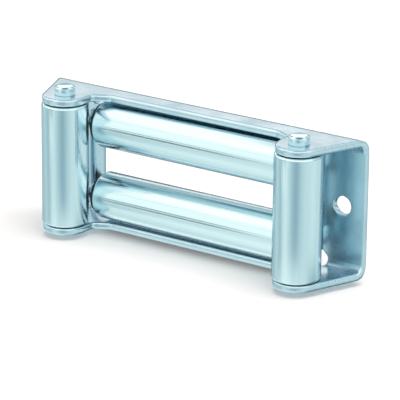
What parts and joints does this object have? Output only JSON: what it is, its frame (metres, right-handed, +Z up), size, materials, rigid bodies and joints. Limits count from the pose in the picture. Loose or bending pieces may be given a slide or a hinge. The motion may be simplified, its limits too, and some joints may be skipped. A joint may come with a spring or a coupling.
{
  "type": "roller fairlead",
  "caption": "Roller fairlead: folded steel channel frame with upright rollers at its ends and lengthwise rollers above and below a rope opening, bolted on through its rear plate.",
  "frame": {"origin": "on the rear mounting face, midway between the two mounting bolt holes", "axes": "+X along the fairlead to its right end seen from the rollers, +Y out of the rear mounting face towards the winch, +Z up along the upright pins towards their heads"},
  "size_m": [0.294, 0.0645, 0.1254],
  "materials": {
    "frame_zinc": "bright zinc plating, satin",
    "roller_zinc": "bright zinc plating on drawn tube",
    "pin_zinc": "bright zinc plating on turned bar",
    "bush_nylon": "black nylon"
  },
  "bodies": {
    "frame": {"frame": "frame_zinc", "vertical_pin_left": "pin_zinc", "vertical_pin_right": "pin_zinc", "horizontal_spindle_upper": "pin_zinc", "horizontal_spindle_lower": "pin_zinc", "retaining_ring_left": "pin_zinc", "retaining_ring_right": "pin_zinc", "thrust_washer_upper_left": "pin_zinc", "thrust_washer_upper_right": "pin_zinc", "thrust_washer_lower_left": "pin_zinc", "thrust_washer_lower_right": "pin_zinc"},
    "vertical_roller_left": {"vertical_roller_left": "roller_zinc", "vertical_bush_left_upper": "bush_nylon", "vertical_bush_left_lower": "bush_nylon"},
    "vertical_roller_right": {"vertical_roller_right": "roller_zinc", "vertical_bush_right_upper": "bush_nylon", "vertical_bush_right_lower": "bush_nylon"},
    "horizontal_roller_upper": {"horizontal_roller_upper": "roller_zinc", "horizontal_bush_upper_left": "bush_nylon", "horizontal_bush_upper_right": "bush_nylon"},
    "horizontal_roller_lower": {"horizontal_roller_lower": "roller_zinc", "horizontal_bush_lower_left": "bush_nylon", "horizontal_bush_lower_right": "bush_nylon"}
  },
  "joints": [
    {"name": "vertical_roller_left_spin", "type": "hinge", "parent": "frame", "child": "vertical_roller_left", "pos_m": [-0.1114, -0.0455, 0], "axis": [0, 0, 1], "continuous": true},
    {"name": "vertical_roller_right_spin", "type": "hinge", "parent": "frame", "child": "vertical_roller_right", "pos_m": [0.1114, -0.0455, 0], "axis": [0, 0, 1], "continuous": true},
    {"name": "horizontal_roller_upper_spin", "type": "hinge", "parent": "frame", "child": "horizontal_roller_upper", "pos_m": [0, -0.0196, 0.03015], "axis": [1, 0, 0], "continuous": true},
    {"name": "horizontal_roller_lower_spin", "type": "hinge", "parent": "frame", "child": "horizontal_roller_lower", "pos_m": [0, -0.0196, -0.03015], "axis": [1, 0, 0], "continuous": true}
  ]
}
